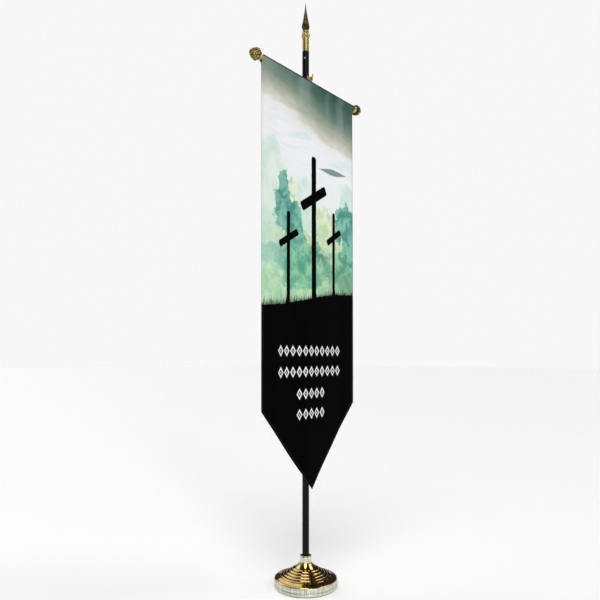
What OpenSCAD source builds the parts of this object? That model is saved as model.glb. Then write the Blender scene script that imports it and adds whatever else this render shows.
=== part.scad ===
// Banner stand: weighted brass base, two-piece black pole with a spear point,
// and a crossbar with acorn finials that carries a long pointed banner.
// Origin: centre of the base on the floor. +Z is up, the banner faces -Y.

/* [Base] */
// Radius of the base at its rim
base_r = 131; // [120:1:150]
// Height of the bright rim band
rim_h = 36; // [30:1:45]
// Wall of the rim band and the brass cover
sheet_t = 1.4; // [1:0.1:2]
// Radius where the smooth band of the cover meets the outer ring step
ring_outer_r = 104; // [95:1:112]
// Radius where the inner ring step meets the flared neck
ring_inner_r = 44; // [38:1:50]
// Number of stepped rings on the cover
ring_count = 5; // [3:1:7]
// Height of the outer ring step's foot above the floor
ring_low_z = 46; // [44:1:52]
// Height of the inner ring step's top above the floor
ring_high_z = 79; // [70:1:88]
// Height where the flared neck meets the collar
neck_z = 102; // [95:1:108]
// Outer radius of the collar
collar_r = 24; // [22:0.5:28]
// Height of the collar's top above the floor
collar_top_z = 128; // [120:1:145]
// Thickness of the felt ring under the base
pad_t = 3; // [2:0.5:4]
// Direction of the thumb screw, turned from the back towards the right
lock_turn = 51; // [0:1:90]
// Height of the cast weight's disc
weight_h = 13.5; // [10:0.5:18]

/* [Pole] */
// Outer diameter of the pole
pole_d = 28.6; // [25:0.1:32]
// Wall of the pole's tubes
pole_wall = 1.6; // [1:0.1:2.5]
// Height of the pole's foot above the floor
foot_z = 14; // [12:1:20]
// Height of the screw joint between the two halves
joint_z = 1200; // [1100:5:1350]
// Height of the pole's top, under the spear
pole_top_z = 2228; // [2150:1:2300]
// Direction of the top plug's screw, turned from the front towards the left
plug_screw_turn = 64; // [0:1:90]

/* [Spear] */
// Total height of the stand, at the tip of the spear
total_h = 2438; // [2380:1:2480]
// Height of the spear head alone
head_h = 120; // [100:1:140]
// Greatest diameter of the spear head
head_d = 31.4; // [26:0.2:40]
// Diameter of the bead under the spear head
bead_d = 34.8; // [30:0.2:42]
// Outer diameter of the brass sleeve
ferrule_d = 28.2; // [26:0.2:30]

/* [Crossbar] */
// Outer diameter of the crossbar
bar_d = 22.2; // [18:0.1:24]
// Wall of the crossbar's tube
bar_wall = 1.5; // [1:0.1:2]
// Distance from the pole's axis forward to the crossbar's axis
bar_forward = 28.5; // [28:0.5:34]
// Length of each finial, beyond the banner
finial_len = 61; // [50:1:75]
// Diameter of the acorn's rim
acorn_d = 47; // [40:1:54]
// Diameter of the finial's cup next to the banner
cup_d = 29; // [27:0.5:32]

/* [Banner] */
// Width of the banner
banner_w = 609.6; // [500:0.1:640]
// Height of the banner's top edge above the floor
banner_top_z = 2094; // [2060:1:2110]
// Length of the banner's side edges
banner_side = 1348; // [1200:1:1400]
// Length of the banner to its point
banner_len = 1690; // [1500:1:1720]
// Depth of the rod pocket
pocket_depth = 38; // [32:1:50]
// Thickness of the cloth
cloth_t = 1; // [0.6:0.1:1.5]

/* [Hidden] */
$fn = 96;

// clearances
slip = 0.05;        // radial clearance of a running or screwed fit
part_gap = 0.3;     // gap between faces of pieces that move apart

// base
flange_in_r = 104;              // inner radius of the rim's turned-in flange
rim_bulge = 1.5;                // the rim band's outward bow
rim_seam_z = 15.5;              // height of the groove between the rim's two bands
cover_r = base_r - rim_bulge - sheet_t - slip;  // the cover tucks down inside the rim
plate_z = pad_t + sheet_t;      // underside of the bottom plate
plate_t = 2;
weight_z = plate_z + plate_t;   // underside of the cast weight
weight_r = base_r - 9;
ring_steepen = 1.22;            // 1 would put all ring steps on one straight cone
boss_r = 32;
boss_top_z = 62;
socket_r = 18.5;                // outer radius of the socket tube
socket_wall = 1.7;
socket_floor_z = foot_z - 4;    // underside of the socket's floor
socket_top_z = collar_top_z - 2;
pole_r = pole_d / 2;
liner_r = socket_r - socket_wall;
liner_bore_r = pole_r + 0.1;
lock_z = 115;                   // height of the thumb screw
lock_r = 3;                     // thread radius of the thumb screw
lock_head_r = 8;
bolt_r = 4;

// pole
tube_bore_r = pole_r - pole_wall;
joint_flange_r = pole_r + 0.5;  // the brass rings of the screw joint stand slightly proud
joint_flange_h = 12;
insert_len = 40;
stud_r = 6;
stud_len = 34;
spear_stud_r = 4;
plug_screw_z = pole_top_z - 31;
plug_screw_in_r = 5.5;          // how near the axis the screw reaches
plug_head_r = 3;
plug_seat_depth = 0.4;          // depth of the flat seat under the screw's head

// spear
head_z = total_h - head_h;
ferrule_top_z = head_z - 35;
ferrule_z = pole_top_z + part_gap;
spear_stud_low_z = pole_top_z - 26;

// crossbar
bar_r = bar_d / 2;
sleeve_bore_r = bar_r + 0.6;
sleeve_r = sleeve_bore_r + cloth_t;
bar_z = banner_top_z - sleeve_r;
cup_x = banner_w / 2 + 1.7;     // inner end of each finial
cup_len = 22;
cup_depth = 13;                 // how far the cup slips over the crossbar
bar_end_x = cup_x + cup_depth;
finial_stud_r = 3;
finial_stud_in = 14;            // length of the stud inside the crossbar's insert

// hook and hanger
arm_r = 3;
arm_z = bar_z + 27;             // axis of the hook's arm
arm_bend_r = 5;
tip_y = -bar_forward - 8.5;     // axis of the hook's upturned tip
tip_top_z = arm_z + 13;
hook_plate_t = 2.4;
hook_plate_w = 13;
hook_plate_h = 26;
eye_bore_r = 4.6;
eye_r = 8.6;
eye_t = 6;
eye_neck_w = 9;
eye_z = arm_z + arm_r + part_gap - eye_bore_r;
saddle_t = 2;
saddle_w = 26;
saddle_half_angle = 48;
hanger_screw_x = 9.6;
notch_w = saddle_w + 6;
notch_low = 3.2;                // the notch's lower edge, above the crossbar's axis
small_screw_r = 1.5;

// banner
seam_z = banner_top_z - pocket_depth;
shoulder_z = banner_top_z - banner_side;
point_z = banner_top_z - banner_len;

// Unit vector along the outline at point i
function along(pts, i) =
    let (a = pts[max(i - 1, 0)], b = pts[min(i + 1, len(pts) - 1)], v = b - a)
    v / norm(v);

// Closed wall of thickness t on the right-hand side of an open outline
function wall(pts, t) = concat(
    pts,
    [for (i = [len(pts) - 1 : -1 : 0])
        let (u = along(pts, i))
        pts[i] + t * [u[1], -u[0]]]
);

// Height of a ring step's foot; the steps grow steeper towards the neck
function ring_foot_z(i) =
    ring_low_z + (ring_high_z - ring_low_z) * pow(i / ring_count, ring_steepen);

// One rounded step of the cover, from its outer foot up and in to its top
function ring_step(i) =
    let (w = (ring_outer_r - ring_inner_r) / ring_count,
         foot_r = ring_outer_r - i * w,
         foot_h = ring_foot_z(i),
         h = ring_foot_z(i + 1) - foot_h)
    [for (a = [0 : 15 : 90])
        [foot_r - 0.85 * w * (1 - cos(a)) - 0.15 * w * a / 90, foot_h + h * sin(a)]];

// Outline of the cover, from the rim's shoulder to the neck
cover_outline = concat(
    [[cover_r, rim_h - 5]],
    [for (a = [0 : 18 : 90]) [cover_r - 10 + 10 * cos(a), rim_h - 1 + 5 * sin(a)]],
    [[ring_outer_r + 3, ring_low_z - 0.8]],
    [for (i = [0 : ring_count - 1]) each ring_step(i)],
    [for (a = [15 : 15 : 90])
        [ring_inner_r - (ring_inner_r - collar_r + 0.5) * sin(a),
         ring_high_z + (neck_z - ring_high_z) * (0.75 * sin(a) + 0.25 * (1 - cos(a)))]]
);

// A plain turned solid between two heights
module turned(r, low, high) {
    translate([0, 0, low]) cylinder(r = r, h = high - low);
}

// A plain tube between two heights
module tube(r, bore, low, high) {
    difference() {
        turned(r, low, high);
        turned(bore, low - 1, high + 1);
    }
}

// ---------- base ----------

module base_pad() {
    color("dimgray") tube(base_r - 4, flange_in_r, 0, pad_t);
}

// Outer outline of one band of the rim, bowed out between two heights
function rim_band(low, high, bulge) =
    [for (a = [-90 : 15 : 90])
        [base_r - rim_bulge + bulge * cos(a), low + (high - low) * (a + 90) / 180]];

module base_rim() {
    wall_r = base_r - rim_bulge;
    side = concat(
        rim_band(pad_t, rim_seam_z - 0.8, 1),
        [[wall_r - 0.6, rim_seam_z]],
        rim_band(rim_seam_z + 0.8, rim_h, rim_bulge)
    );
    color("gainsboro") {
        rotate_extrude() polygon(concat(
            [[flange_in_r, pad_t]],
            side,
            [[wall_r - sheet_t, rim_h],
             [wall_r - sheet_t, pad_t + sheet_t],
             [flange_in_r, pad_t + sheet_t]]
        ));
    }
}

module base_plate() {
    color("darkgray") tube(base_r - 5.5, bolt_r + slip, plate_z, plate_z + plate_t);
}

module base_weight() {
    color("dimgray") difference() {
        union() {
            turned(weight_r, weight_z, weight_z + weight_h);
            translate([0, 0, weight_z + weight_h])
                cylinder(r1 = boss_r + 14, r2 = boss_r, h = 12);
            turned(boss_r, weight_z + weight_h, boss_top_z);
        }
        turned(bolt_r + slip, 0, boss_top_z + 1);
        turned(socket_r, socket_floor_z, boss_top_z + 1);
    }
}

module base_shell() {
    color("goldenrod") rotate_extrude() polygon(wall(cover_outline, -sheet_t));
}

module base_collar() {
    color("gold") difference() {
        rotate_extrude() polygon(concat(
            [[socket_r + slip, neck_z + 0.2], [collar_r, neck_z + 0.2], [collar_r, collar_top_z - 6],
             [collar_r - 1, collar_top_z - 5]],
            [for (a = [0 : 15 : 90])
                [collar_r - 1.5 + 1.5 * cos(a), collar_top_z - 1.5 + 1.5 * sin(a)]],
            [[liner_bore_r + 0.3, collar_top_z], [liner_bore_r + 0.3, socket_top_z],
             [socket_r + slip, socket_top_z]]
        ));
        lock_hole();
    }
}

module base_socket() {
    color("silver") difference() {
        turned(socket_r, socket_floor_z, socket_top_z);
        turned(liner_r, foot_z, socket_top_z + 1);
        turned(bolt_r, 0, foot_z + 1);
        lock_hole();
    }
}

module socket_liner() {
    color("black") difference() {
        tube(liner_r, liner_bore_r, foot_z, socket_top_z);
        lock_hole();
    }
}

module base_bolt() {
    color("silver") {
        turned(bolt_r, plate_z - 1, foot_z - 0.5);
        translate([0, 0, 0.6]) cylinder(r = 7.2, h = plate_z - 1.6, $fn = 6);
    }
}

module bolt_washer() {
    color("silver") tube(11, bolt_r, plate_z - 1, plate_z);
}

// Places children on the thumb screw's axis, facing outward from the pole's axis
module at_lock() {
    translate([0, 0, lock_z]) rotate([0, 0, -lock_turn]) rotate([-90, 0, 0]) children();
}

// Radial hole through collar, socket and liner
module lock_hole() {
    at_lock() cylinder(r = lock_r + slip, h = collar_r + 2);
}

module collar_screw() {
    color("gold") at_lock() difference() {
        union() {
            translate([0, 0, pole_r + 0.5]) cylinder(r = lock_r, h = collar_r + 3 - pole_r);
            translate([0, 0, collar_r + 1]) cylinder(r = 5, h = 3);
            translate([0, 0, collar_r + 4]) cylinder(r = lock_head_r, h = 7);
        }
        for (a = [0 : 15 : 345]) {
            rotate([0, 0, a]) translate([lock_head_r + 0.35, 0, collar_r + 3])
                cylinder(r = 0.8, h = 9, $fn = 16);
        }
    }
}

// ---------- pole ----------

module pole_foot() {
    color("black") {
        turned(pole_r, foot_z, foot_z + 3);
        turned(tube_bore_r, foot_z + 3, foot_z + 25);
    }
}

module lower_pole() {
    color("black") tube(pole_r, tube_bore_r, foot_z + 3, joint_z - joint_flange_h);
}

module joint_socket() {
    color("gold") difference() {
        union() {
            turned(joint_flange_r, joint_z - joint_flange_h, joint_z);
            turned(tube_bore_r, joint_z - joint_flange_h - insert_len, joint_z - joint_flange_h);
        }
        turned(stud_r + slip, joint_z - stud_len - 2, joint_z + 1);
    }
}

module joint_stud() {
    color("gold") {
        turned(joint_flange_r, joint_z + part_gap, joint_z + joint_flange_h);
        turned(tube_bore_r, joint_z + joint_flange_h, joint_z + joint_flange_h + insert_len);
        turned(stud_r, joint_z - stud_len, joint_z + part_gap);
    }
}

module upper_pole() {
    color("black") difference() {
        tube(pole_r, tube_bore_r, joint_z + joint_flange_h, pole_top_z);
        plug_screw_hole();
        for (z = hook_screw_heights) {
            front_hole(z);
        }
    }
}

module top_plug() {
    color("gold") difference() {
        turned(tube_bore_r, pole_top_z - insert_len, pole_top_z);
        turned(spear_stud_r + slip, spear_stud_low_z - 2, pole_top_z + 1);
        plug_screw_hole();
    }
}

// Places children on the pole's side, at the top plug's screw, facing outward
module at_plug_screw() {
    translate([0, 0, plug_screw_z]) rotate([0, 0, -plug_screw_turn]) rotate([90, 0, 0]) children();
}

// Hole for the top plug's screw, with a flat seat for its head in the pole's side
module plug_screw_hole() {
    at_plug_screw() {
        translate([0, 0, plug_screw_in_r])
            cylinder(r = small_screw_r, h = pole_r, $fn = 32);
        translate([0, 0, pole_r - plug_seat_depth])
            cylinder(r = plug_head_r + 0.1, h = 2, $fn = 32);
    }
}

module plug_screw() {
    color("silver") at_plug_screw() {
        translate([0, 0, plug_screw_in_r])
            cylinder(r = small_screw_r, h = pole_r - plug_screw_in_r, $fn = 32);
        translate([0, 0, pole_r - plug_seat_depth]) pan_head(plug_head_r);
    }
}

// Domed screw head of radius r, standing on the plane z = 0
module pan_head(r) {
    difference() {
        cylinder(r = r, h = 1.1, $fn = 32);
        translate([-r, -0.35, 0.7]) cube([2 * r, 0.7, 1]);
    }
}

// ---------- hook on the pole ----------

hook_screw_heights = [arm_z - 7.5, arm_z + 9];
hook_plate_low_z = arm_z - 12;

// Radial hole through the pole's front wall
module front_hole(z) {
    translate([0, 0, z]) rotate([90, 0, 0]) cylinder(r = small_screw_r, h = pole_r + 6, $fn = 32);
}

module pole_hook() {
    color("goldenrod") {
        difference() {
            intersection() {
                tube(pole_r + hook_plate_t, pole_r, hook_plate_low_z, hook_plate_low_z + hook_plate_h);
                translate([-hook_plate_w / 2, -2 * pole_r, hook_plate_low_z])
                    cube([hook_plate_w, 2 * pole_r, hook_plate_h]);
            }
            for (z = hook_screw_heights) {
                front_hole(z);
            }
        }
        hook_arm();
    }
}

// Round arm: straight forward, one bend, then a short upturned tip with a ball
module hook_arm() {
    straight_end_y = tip_y + arm_bend_r;
    translate([0, -pole_r - 1, arm_z]) rotate([90, 0, 0])
        cylinder(r = arm_r, h = -straight_end_y - pole_r - 1, $fn = 48);
    translate([0, straight_end_y, arm_z + arm_bend_r]) rotate([0, 90, 0]) rotate([0, 0, -90])
        rotate_extrude(angle = 90, $fn = 48) translate([arm_bend_r, 0]) circle(r = arm_r, $fn = 48);
    translate([0, tip_y, arm_z + arm_bend_r])
        cylinder(r = arm_r, h = tip_top_z - arm_z - arm_bend_r, $fn = 48);
    translate([0, tip_y, tip_top_z]) sphere(r = arm_r + 0.6, $fn = 48);
}

module hook_screws() {
    color("silver") for (z = hook_screw_heights) {
        translate([0, 0, z]) rotate([90, 0, 0]) {
            translate([0, 0, tube_bore_r - 3])
                cylinder(r = small_screw_r, h = hook_plate_t + pole_wall + 3, $fn = 32);
            translate([0, 0, pole_r + hook_plate_t]) pan_head(2.6);
        }
    }
}

// ---------- spear ----------

module spear_ferrule() {
    color("gold") tube(ferrule_d / 2, ferrule_d / 2 - 2.2, ferrule_z, ferrule_top_z);
}

module spear_bead() {
    ring_r = head_d / 2 - 0.8;
    bead_r = bead_d / 2;
    low = ferrule_top_z;
    color("goldenrod") rotate_extrude() polygon(concat(
        [[spear_stud_r, low], [ring_r - 0.4, low], [ring_r, low + 1], [ring_r - 0.4, low + 2.4],
         [ring_r - 1.8, low + 4]],
        [for (a = [-75 : 15 : 75]) [bead_r - 8 + 8 * cos(a), low + 13 + 8.55 * sin(a)]],
        [[ring_r - 2.2, low + 23.5], [ring_r - 0.3, low + 25], [ring_r, low + 28],
         [ring_r - 0.3, low + 31], [ring_r - 2.8, low + 33], [ring_r - 4.4, low + 35],
         [spear_stud_r, low + 35]]
    ));
}

// A short outward sweep above the neck, a sharp shoulder, and a long point
// with slightly hollow sides
module spear_head() {
    neck_r = 10.4;
    shoulder_h = 23;
    edge_r = head_d / 2;
    point_h = head_h - shoulder_h;
    color("goldenrod") difference() {
        rotate_extrude() polygon(concat(
            [[0, head_z], [neck_r, head_z]],
            [for (a = [15 : 15 : 90])
                [neck_r + (edge_r - neck_r) * sin(a), head_z + shoulder_h * a / 90]],
            [for (s = [0.1 : 0.1 : 0.9])
                [edge_r * pow(1 - s, 1.4) + 0.5 * s, head_z + shoulder_h + point_h * s]],
            [[0.5, total_h - 1], [0, total_h]]
        ));
        turned(spear_stud_r, head_z - 1, head_z + 14);
    }
}

module spear_stud() {
    color("silver") turned(spear_stud_r, spear_stud_low_z, head_z + 14);
}

// ---------- crossbar ----------

// Turns a solid made along +Z into one along +X, on the crossbar's axis
module on_bar() {
    translate([0, -bar_forward, bar_z]) rotate([0, 90, 0]) children();
}

// Leaves children at the crossbar's right end, or mirrors them to the left one
module at_end(side) {
    if (side < 0) mirror([1, 0, 0]) children();
    else children();
}

module crossbar() {
    color("black") difference() {
        on_bar() tube(bar_r, bar_r - bar_wall, -bar_end_x, bar_end_x);
        hanger_screw_holes();
    }
}

module bar_plugs() {
    color("gold") for (side = [-1, 1]) {
        at_end(side) on_bar()
            tube(bar_r - bar_wall, finial_stud_r + slip, bar_end_x - 22, bar_end_x);
    }
}

module hanger_screw_holes() {
    for (side = [-1, 1]) {
        translate([side * hanger_screw_x, -bar_forward, bar_z])
            cylinder(r = small_screw_r, h = bar_r + 5, $fn = 32);
    }
}

module crossbar_hanger() {
    color("goldenrod") {
        difference() {
            on_bar() rotate([0, 0, 180 - saddle_half_angle])
                rotate_extrude(angle = 2 * saddle_half_angle)
                translate([bar_r, -saddle_w / 2]) square([saddle_t, saddle_w]);
            hanger_screw_holes();
        }
        difference() {
            union() {
                translate([0, -bar_forward + eye_t / 2, eye_z]) rotate([90, 0, 0])
                    cylinder(r = eye_r, h = eye_t);
                translate([-eye_neck_w / 2, -bar_forward - eye_t / 2, bar_z + bar_r + 1])
                    cube([eye_neck_w, eye_t, eye_z - eye_bore_r - bar_z - bar_r - 2]);
            }
            translate([0, -bar_forward + eye_t, eye_z]) rotate([90, 0, 0])
                cylinder(r = eye_bore_r, h = 2 * eye_t);
        }
    }
}

module hanger_screws() {
    color("silver") for (side = [-1, 1]) {
        translate([side * hanger_screw_x, -bar_forward, bar_z]) {
            translate([0, 0, bar_r - bar_wall - 3])
                cylinder(r = small_screw_r, h = saddle_t + bar_wall + 3, $fn = 32);
            translate([0, 0, bar_r + saddle_t]) pan_head(2.4);
        }
    }
}

// ---------- finials ----------

// Cup that slips over the crossbar's end and carries the acorn
module cup(side) {
    cup_r = cup_d / 2;
    color("goldenrod") at_end(side) on_bar() rotate_extrude() polygon(concat(
        [[bar_r + slip, cup_x], [cup_r - 0.6, cup_x], [cup_r, cup_x + 0.8], [cup_r, cup_x + 3],
         [cup_r - 1, cup_x + 4]],
        [for (a = [0 : 15 : 90]) [cup_r - 1 + 2 * sin(a), cup_x + 4.5 + 14 * (1 - cos(a))]],
        [[cup_r + 1, cup_x + cup_len], [finial_stud_r, cup_x + cup_len],
         [finial_stud_r, bar_end_x + part_gap], [bar_r + slip, bar_end_x + part_gap]]
    ));
}

// Acorn: a sharp rim and a dome that draws in to a blunt point
module acorn(side) {
    rim_r = acorn_d / 2;
    low = cup_x + cup_len;
    dome_r = rim_r - 2.2;
    dome_low = low + 4;
    dome_h = finial_len - cup_len - 4.5;
    color("goldenrod") at_end(side) on_bar() difference() {
        rotate_extrude() polygon(concat(
            [[0, low], [rim_r - 2.5, low], [rim_r, low + 1.6], [rim_r - 0.6, low + 3.4]],
            [for (s = [0 : 0.1 : 0.9])
                [dome_r * (1 - s * (0.15 + 0.85 * s)), dome_low + dome_h * s]],
            [[1.6, dome_low + 0.98 * dome_h], [0, dome_low + dome_h + 0.5]]
        ));
        turned(finial_stud_r, low - 1, low + 14);
    }
}

// Threaded stud from the crossbar's insert through the cup into the acorn
module finial_stud(side) {
    color("silver") at_end(side) on_bar()
        turned(finial_stud_r, bar_end_x - finial_stud_in, cup_x + cup_len + 14);
}

// ---------- banner ----------

// Teardrop round the crossbar: most of a circle of radius r, then straight
// sides that close at the seam, tip_w wide there; [y, z] seen along the crossbar
function teardrop(r, apex, tip_w) =
    let (open = acos(r / apex), steps = 40)
    concat(
        [[-tip_w / 2, -apex], [tip_w / 2, -apex]],
        [for (k = [0 : steps])
            let (a = open + k * (360 - 2 * open) / steps)
            [r * sin(a), -r * cos(a)]]
    );

module banner_sleeve() {
    apex = bar_z - seam_z;
    color("slategray") translate([0, -bar_forward, bar_z]) difference() {
        rotate([90, 0, 90]) translate([0, 0, -banner_w / 2]) linear_extrude(banner_w) difference() {
            polygon(teardrop(sleeve_r, apex, cloth_t));
            polygon(teardrop(sleeve_bore_r, apex - 4, 0));
        }
        translate([-notch_w / 2, -sleeve_r - 1, notch_low])
            cube([notch_w, 2 * sleeve_r + 2, sleeve_r]);
    }
}

module banner_panel() {
    half = banner_w / 2;
    color("slategray") translate([0, -bar_forward + cloth_t / 2, 0]) rotate([90, 0, 0])
        linear_extrude(cloth_t) polygon([[-half, seam_z], [-half, shoulder_z], [0, point_z],
                                         [half, shoulder_z], [half, seam_z]]);
}

base_pad();
base_rim();
base_plate();
base_weight();
base_shell();
base_collar();
base_socket();
socket_liner();
base_bolt();
bolt_washer();
collar_screw();
pole_foot();
lower_pole();
joint_socket();
joint_stud();
upper_pole();
top_plug();
plug_screw();
pole_hook();
hook_screws();
spear_ferrule();
spear_bead();
spear_head();
spear_stud();
crossbar();
bar_plugs();
crossbar_hanger();
hanger_screws();
cup(-1);  // left_cup
acorn(-1);  // left_acorn
finial_stud(-1);  // left_stud
cup(1);  // right_cup
acorn(1);  // right_acorn
finial_stud(1);  // right_stud
banner_sleeve();
banner_panel();
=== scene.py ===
"""Looks of the banner stand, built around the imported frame. Metres, +Z up, the banner faces -Y."""

import math

import bpy
from mathutils import Matrix, Vector


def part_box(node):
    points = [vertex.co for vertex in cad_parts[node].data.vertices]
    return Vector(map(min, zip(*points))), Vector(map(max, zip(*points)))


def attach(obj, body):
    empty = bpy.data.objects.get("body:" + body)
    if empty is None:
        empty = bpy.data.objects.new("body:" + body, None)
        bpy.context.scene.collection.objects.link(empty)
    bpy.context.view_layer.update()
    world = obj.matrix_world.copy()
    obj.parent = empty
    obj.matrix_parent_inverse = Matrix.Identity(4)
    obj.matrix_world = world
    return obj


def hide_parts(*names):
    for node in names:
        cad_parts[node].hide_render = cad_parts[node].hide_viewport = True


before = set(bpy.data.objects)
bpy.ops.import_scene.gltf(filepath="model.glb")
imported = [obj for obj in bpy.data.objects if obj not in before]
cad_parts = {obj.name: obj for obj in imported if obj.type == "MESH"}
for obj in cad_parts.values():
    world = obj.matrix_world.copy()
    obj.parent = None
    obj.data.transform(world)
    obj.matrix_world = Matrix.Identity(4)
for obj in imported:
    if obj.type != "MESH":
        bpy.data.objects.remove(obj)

scene = bpy.context.scene
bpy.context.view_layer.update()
MM = 0.001

# ---------- places and sizes, from the frame ----------

bar_low, bar_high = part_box("crossbar")
panel_low, panel_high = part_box("banner_panel")
sleeve_low, sleeve_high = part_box("banner_sleeve")
_, hanger_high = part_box("crossbar_hanger")

BAR_Y = (bar_low.y + bar_high.y) / 2
BAR_Z = (bar_low.z + bar_high.z) / 2
HALF_W = (panel_high.x - panel_low.x) / 2
SEAM_Z = sleeve_low.z               # the stitched foot of the rod pocket
TOP_Z = sleeve_high.z               # the banner's top edge
POINT_Z = panel_low.z               # the banner's lower point
SIDE_LENGTH = 1348 * MM             # the banner's side edges, from the top down
SHOULDER_Z = TOP_Z - SIDE_LENGTH    # where the sides end and the slanting edges start
FALL = SEAM_Z - SHOULDER_Z          # from the seam down to the shoulders
POINT_DEPTH = SHOULDER_Z - POINT_Z  # from the shoulders down to the point
CLOTH_T = 0.5 * MM
POCKET_R = sleeve_high.z - BAR_Z - CLOTH_T / 2
NOTCH_HALF = hanger_high.x + 3 * MM  # half width of the pocket's notch for the hanger
NOTCH_LOW = BAR_Z + 3.2 * MM
NOTCH_FROM = NOTCH_LOW - 0.5 * MM   # the cloth above this height is cut away in the notch
HEM_W = 11 * MM
FLAP = 12 * MM                      # cloth turned under behind the pocket's seam
RING_OUTER = 104 * MM               # the base shell's stepped rings
RING_INNER = 44 * MM
RING_PITCH = 12 * MM
RIM_SEAM_Z = 15.5 * MM              # the groove between the rim's two bands
CUP_R = 14.5 * MM                   # the finial's cup and its acorn
DOME_R = 21.3 * MM
DOME_H = 34.5 * MM
DOME_BLUNTNESS = 0.85


def linear(channel):
    """One channel on the usual 0 to 255 scale as linear light."""
    if channel > 10:
        return ((channel / 255 + 0.055) / 1.055) ** 2.4
    return channel / 255 / 12.92


def rgb(r, g, b):
    """A colour on the usual 0 to 255 scale as linear RGBA."""
    return (linear(r), linear(g), linear(b), 1)


COPPER_BLUSH = (0.66, 0.26, 0.13, 1.0)


# ---------- node trees ----------

class Nodes:
    """One material's node tree. Inputs are given by name, with _ for a space, as numbers or sockets."""

    def __init__(self, name, tree=None):
        if tree is None:
            self.material = bpy.data.materials.new(name)
            self.material.use_nodes = True
            tree = self.material.node_tree
            self.shader = tree.nodes["Principled BSDF"]
        self.tree = tree

    def put(self, node, inputs):
        for key, value in inputs.items():
            socket = node.inputs[key] if isinstance(key, int) else node.inputs[key.replace("_", " ")]
            if isinstance(value, bpy.types.NodeSocket):
                self.tree.links.new(value, socket)
            else:
                socket.default_value = value
        return node

    def add(self, kind, inputs=None, **settings):
        node = self.tree.nodes.new(kind)
        for key, value in settings.items():
            setattr(node, key, value)
        return self.put(node, inputs or {})

    def math(self, operation, a, b=0.0, c=0.0):
        return self.add("ShaderNodeMath", {0: a, 1: b, 2: c}, operation=operation).outputs[0]

    def plus(self, a, b):
        return self.math("ADD", a, b)

    def minus(self, a, b):
        return self.math("SUBTRACT", a, b)

    def times(self, a, b):
        return self.math("MULTIPLY", a, b)

    def over(self, a, b):
        return self.math("DIVIDE", a, b)

    def times_plus(self, a, b, c):
        return self.math("MULTIPLY_ADD", a, b, c)

    def absolute(self, a):
        return self.math("ABSOLUTE", a)

    def below(self, a, b):
        return self.math("LESS_THAN", a, b)

    def larger(self, a, b):
        return self.math("MAXIMUM", a, b)

    def most(self, values):
        """The largest of several values."""
        result = values[0]
        for value in values[1:]:
            result = self.larger(result, value)
        return result

    def step(self, value, low, high, start=0.0, end=1.0):
        """Smooth step of value from start at low to end at high."""
        inputs = {"Value": value, "From_Min": low, "From_Max": high, "To_Min": start, "To_Max": end}
        return self.add("ShaderNodeMapRange", inputs, interpolation_type="SMOOTHSTEP").outputs[0]

    def mix(self, factor, a, b):
        """Colour a where factor is 0, colour b where it is 1. Sockets 6, 7 and 2 are the node's colours."""
        node = self.add("ShaderNodeMix", data_type="RGBA")
        self.put(node, {0: factor, 6: a, 7: b})
        return node.outputs[2]

    def ramp(self, value, stops):
        node = self.add("ShaderNodeValToRGB", {"Fac": value})
        points = node.color_ramp.elements
        while len(points) < len(stops):
            points.new(0.5)
        for point, (place, colour) in zip(points, stops):
            point.position = place
            point.color = colour
        return node.outputs["Color"]

    def noise(self, vector, scale, detail=3.0, roughness=0.5, distortion=0.0):
        inputs = {"Vector": vector, "Scale": scale, "Detail": detail, "Roughness": roughness,
                  "Distortion": distortion}
        return self.add("ShaderNodeTexNoise", inputs).outputs["Fac"]

    def wobble(self, vector, reach, scale, detail=3.0, roughness=0.5):
        """Noise centred on 0, half of reach each way."""
        return self.times(self.minus(self.noise(vector, scale, detail, roughness), 0.5), reach)

    def vector(self, x, y, z=0.0):
        return self.add("ShaderNodeCombineXYZ", {"X": x, "Y": y, "Z": z}).outputs[0]

    def scaled(self, vector, x, y, z):
        return self.add("ShaderNodeMapping", {"Vector": vector, "Scale": (x, y, z)}).outputs[0]

    def place(self):
        """The point in the piece's own metres."""
        return self.add("ShaderNodeTexCoord").outputs["Object"]

    def split(self, vector):
        return self.add("ShaderNodeSeparateXYZ", {"Vector": vector}).outputs

    def bump(self, height, distance, strength=1.0):
        inputs = {"Height": height, "Distance": distance, "Strength": strength}
        return self.add("ShaderNodeBump", inputs).outputs["Normal"]

    def finish(self, **inputs):
        self.put(self.shader, inputs)
        return self.material


def round_z(n, point):
    """A point's distance from the Z axis, its angle round it and its height."""
    x, y, z = n.split(point)
    square = n.plus(n.times(x, x), n.times(y, y))
    return n.math("SQRT", square), n.math("ARCTAN2", y, x), z


def spun_brass(name, bright, dark, shine, ringed=False):
    """Lathe-spun brass: fine circular lines and faint tarnish clouds.

    A ringed piece also has dirt in the feet of its stepped rings and a copper blush in patches.
    """
    n = Nodes(name)
    point = n.place()
    radius, _, height = round_z(n, point)
    lines = n.noise(n.vector(radius, height), scale=2600.0, detail=2.0)
    clouds = n.noise(point, scale=34.0, detail=5.0, roughness=0.62)
    tarnish = n.step(clouds, 0.42, 0.72, 0.0, 0.45)
    if ringed:
        share = n.math("FRACT", n.over(n.minus(RING_OUTER, radius), RING_PITCH))
        foot = n.larger(n.step(share, 0.12, 0.0), n.step(share, 0.9, 1.0))
        inside = n.times(n.below(radius, RING_OUTER + 2 * MM), n.below(RING_INNER - 2 * MM, radius))
        tarnish = n.larger(tarnish, n.times(foot, inside))
        blush = n.step(n.noise(point, scale=55.0, detail=3.0, roughness=0.6), 0.50, 0.64, 0.0, 0.55)
        bright = n.mix(blush, bright, COPPER_BLUSH)
    smears = n.noise(n.scaled(point, 1, 1, 3), scale=60.0, detail=4.0, roughness=0.6)
    return n.finish(
        Base_Color=n.mix(tarnish, bright, dark),
        Metallic=1.0,
        Roughness=n.step(smears, 0.35, 0.75, shine, shine + 0.11),
        Normal=n.bump(lines, 0.012 * MM, 0.6),
    )


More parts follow.
